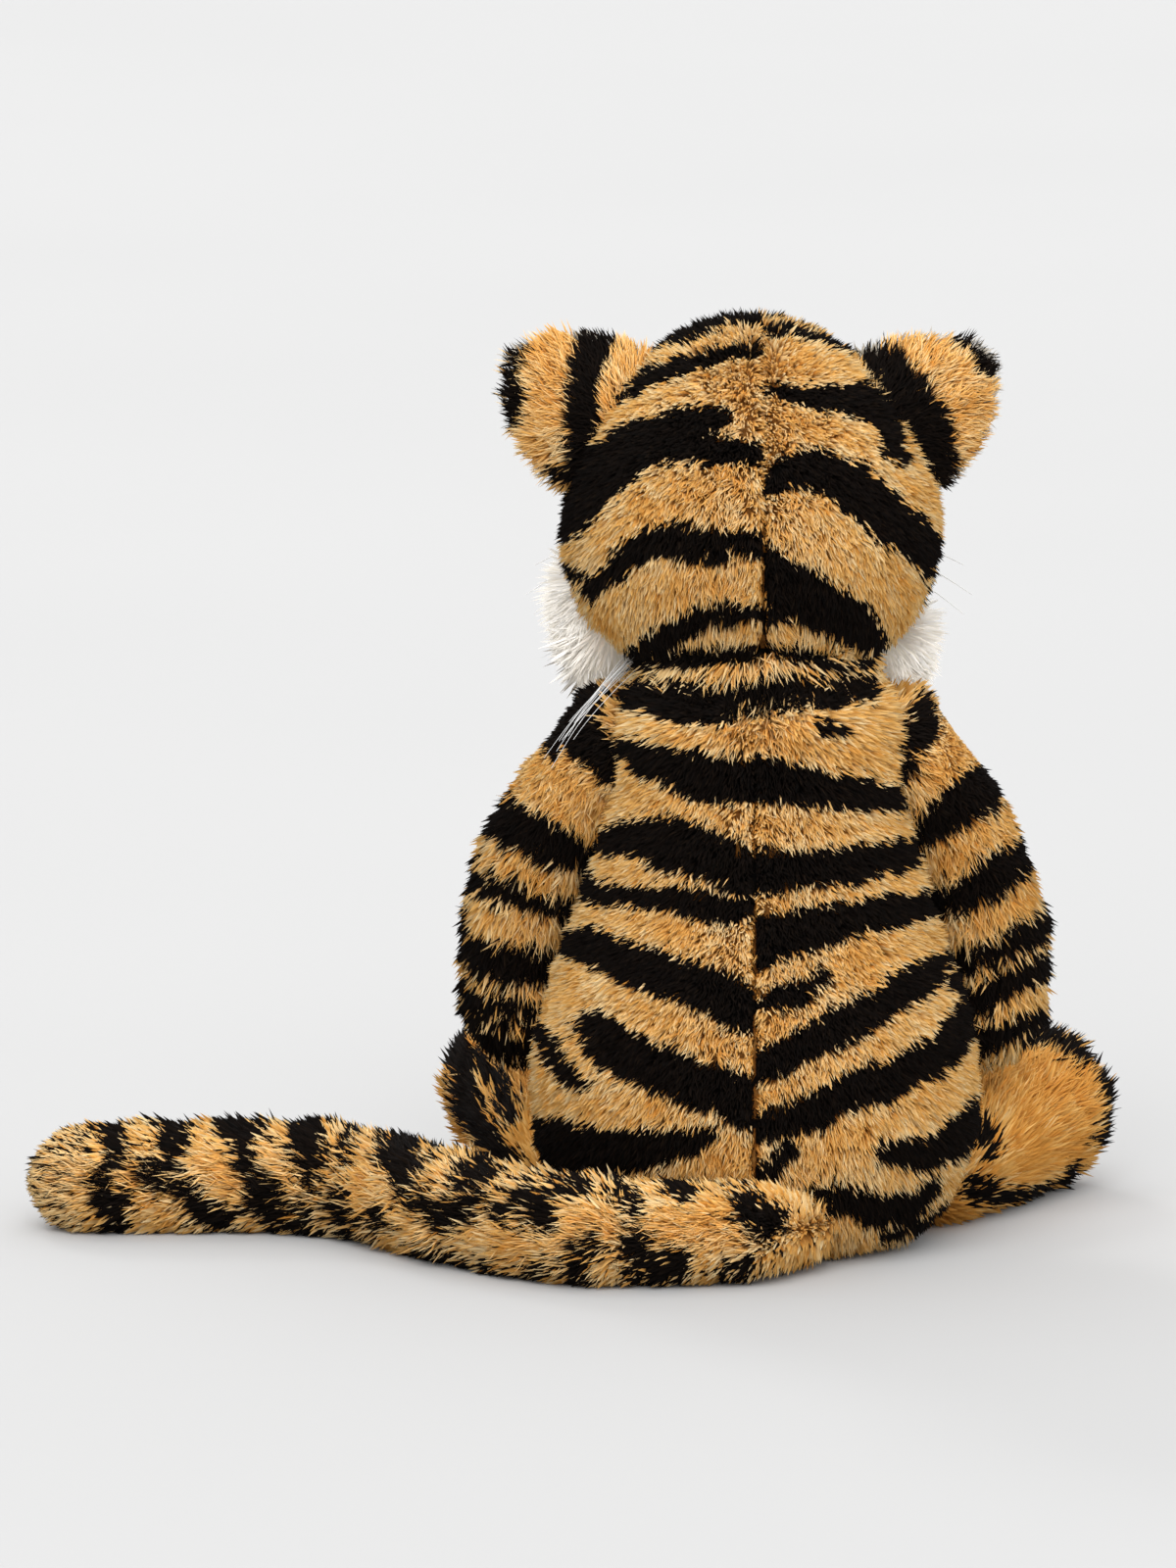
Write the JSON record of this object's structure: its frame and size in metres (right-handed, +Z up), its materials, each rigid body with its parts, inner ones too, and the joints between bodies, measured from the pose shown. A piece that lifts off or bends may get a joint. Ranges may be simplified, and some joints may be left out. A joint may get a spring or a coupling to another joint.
{
  "type": "plush tiger",
  "caption": "Seated plush tiger with orange and black striped fur, round ears, white cheek fur, whiskers, soft limbs and a long tail that bends along the floor.",
  "frame": {"origin": "centre of the seat panel's flat underside, on the surface that the toy sits on", "axes": "+Z up, -Y the way the face looks, +X towards the toy's own left, where the tail lies"},
  "size_m": [0.2696, 0.1573, 0.232],
  "materials": {
    "striped_fur": "long pile plush, orange with black stripes, nap brushed down and back",
    "cream_fur": "short cream pile on the ear linings and foot soles",
    "white_fur": "fine white pile, long on the cheeks and short on the muzzle",
    "seat_cloth": "short orange pile of the seat panel",
    "stuffing": "white polyester fibre",
    "bag_cloth": "plain woven lining cloth",
    "pellets": "small clear white plastic pellets",
    "eye_plastic": "polished black safety eye",
    "washer_plastic": "moulded white locking washer",
    "nose_velour": "dusky pink velour",
    "black_thread": "thick black embroidery thread",
    "whisker_filament": "fine white nylon filament"
  },
  "bodies": {
    "body": {"seat_panel": "seat_cloth", "body_cover_left": "striped_fur", "body_cover_right": "striped_fur", "body_stuffing": "stuffing", "bean_bag": "bag_cloth", "bean_bag_pellets": "pellets"},
    "neck": {"neck_cover": "striped_fur", "neck_stuffing": "stuffing"},
    "head": {"face_panel": "striped_fur", "head_cover_left": "striped_fur", "head_cover_right": "striped_fur", "head_stuffing": "stuffing", "muzzle_cover": "white_fur", "muzzle_stuffing": "stuffing", "nose": "nose_velour", "mouth_stitching": "black_thread", "left_eye": "eye_plastic", "left_eye_washer": "washer_plastic", "left_cheek_ruff": "white_fur", "left_whiskers": "whisker_filament", "right_eye": "eye_plastic", "right_eye_washer": "washer_plastic", "right_cheek_ruff": "white_fur", "right_whiskers": "whisker_filament"},
    "left_ear": {"left_ear_back": "striped_fur", "left_ear_lining": "cream_fur"},
    "right_ear": {"right_ear_back": "striped_fur", "right_ear_lining": "cream_fur"},
    "left_arm": {"left_arm_cover": "striped_fur", "left_arm_stuffing": "stuffing", "left_paw_pellets": "pellets"},
    "right_arm": {"right_arm_cover": "striped_fur", "right_arm_stuffing": "stuffing", "right_paw_pellets": "pellets"},
    "left_leg": {"left_leg_cover": "striped_fur", "left_foot_sole": "cream_fur", "left_leg_stuffing": "stuffing", "left_foot_pellets": "pellets"},
    "right_leg": {"right_leg_cover": "striped_fur", "right_foot_sole": "cream_fur", "right_leg_stuffing": "stuffing", "right_foot_pellets": "pellets"},
    "tail_1": {"tail_cover_1": "striped_fur", "tail_stuffing_1": "stuffing"},
    "tail_2": {"tail_cover_2": "striped_fur", "tail_stuffing_2": "stuffing"},
    "tail_3": {"tail_cover_3": "striped_fur", "tail_stuffing_3": "stuffing"},
    "tail_4": {"tail_cover_4": "striped_fur", "tail_stuffing_4": "stuffing"}
  },
  "joints": [
    {"name": "head_turn", "type": "hinge", "parent": "body", "child": "neck", "pos_m": [0, 0, 0.141], "axis": [0, 0, 1], "range_deg": [-30, 30], "stiffness_Nm_per_rad": 0.05},
    {"name": "head_nod", "type": "hinge", "parent": "neck", "child": "head", "pos_m": [0, 0, 0.141], "axis": [1, 0, 0], "range_deg": [-12, 12], "stiffness_Nm_per_rad": 1},
    {"name": "left_ear_fold", "type": "hinge", "parent": "head", "child": "left_ear", "pos_m": [0.03826, -0.00264, 0.20652], "axis": [0.5592, 0, -0.829], "range_deg": [-25, 25], "stiffness_Nm_per_rad": 0.01},
    {"name": "right_ear_fold", "type": "hinge", "parent": "head", "child": "right_ear", "pos_m": [-0.03526, -0.00264, 0.20652], "axis": [-0.5592, 0, -0.829], "range_deg": [-25, 25], "stiffness_Nm_per_rad": 0.01},
    {"name": "left_arm_swing", "type": "hinge", "parent": "body", "child": "left_arm", "pos_m": [0.03792, -0.00597, 0.12398], "axis": [-1, 0, 0], "range_deg": [0, 70]},
    {"name": "right_arm_swing", "type": "hinge", "parent": "body", "child": "right_arm", "pos_m": [-0.03792, -0.00597, 0.12398], "axis": [-1, 0, 0], "range_deg": [0, 70]},
    {"name": "left_leg_splay", "type": "hinge", "parent": "body", "child": "left_leg", "pos_m": [0.0429, -0.02615, 0.01481], "axis": [0, 0, 1], "range_deg": [-12, 12]},
    {"name": "right_leg_splay", "type": "hinge", "parent": "body", "child": "right_leg", "pos_m": [-0.0429, -0.02615, 0.01675], "axis": [0, 0, -1], "range_deg": [-12, 12]},
    {"name": "tail_sweep_1", "type": "hinge", "parent": "body", "child": "tail_1", "pos_m": [-0.009, 0.04637, 0.0121], "axis": [0, 0, 1], "range_deg": [0, 40]},
    {"name": "tail_sweep_2", "type": "hinge", "parent": "tail_1", "child": "tail_2", "pos_m": [0.03969, 0.05146, 0.0121], "axis": [0, 0, 1], "range_deg": [-10, 30]},
    {"name": "tail_sweep_3", "type": "hinge", "parent": "tail_2", "child": "tail_3", "pos_m": [0.07406, 0.02254, 0.0121], "axis": [0, 0, 1], "range_deg": [-15, 25]},
    {"name": "tail_sweep_4", "type": "hinge", "parent": "tail_3", "child": "tail_4", "pos_m": [0.10748, -0.01365, 0.0121], "axis": [0, 0, 1], "range_deg": [-18, 18]}
  ]
}
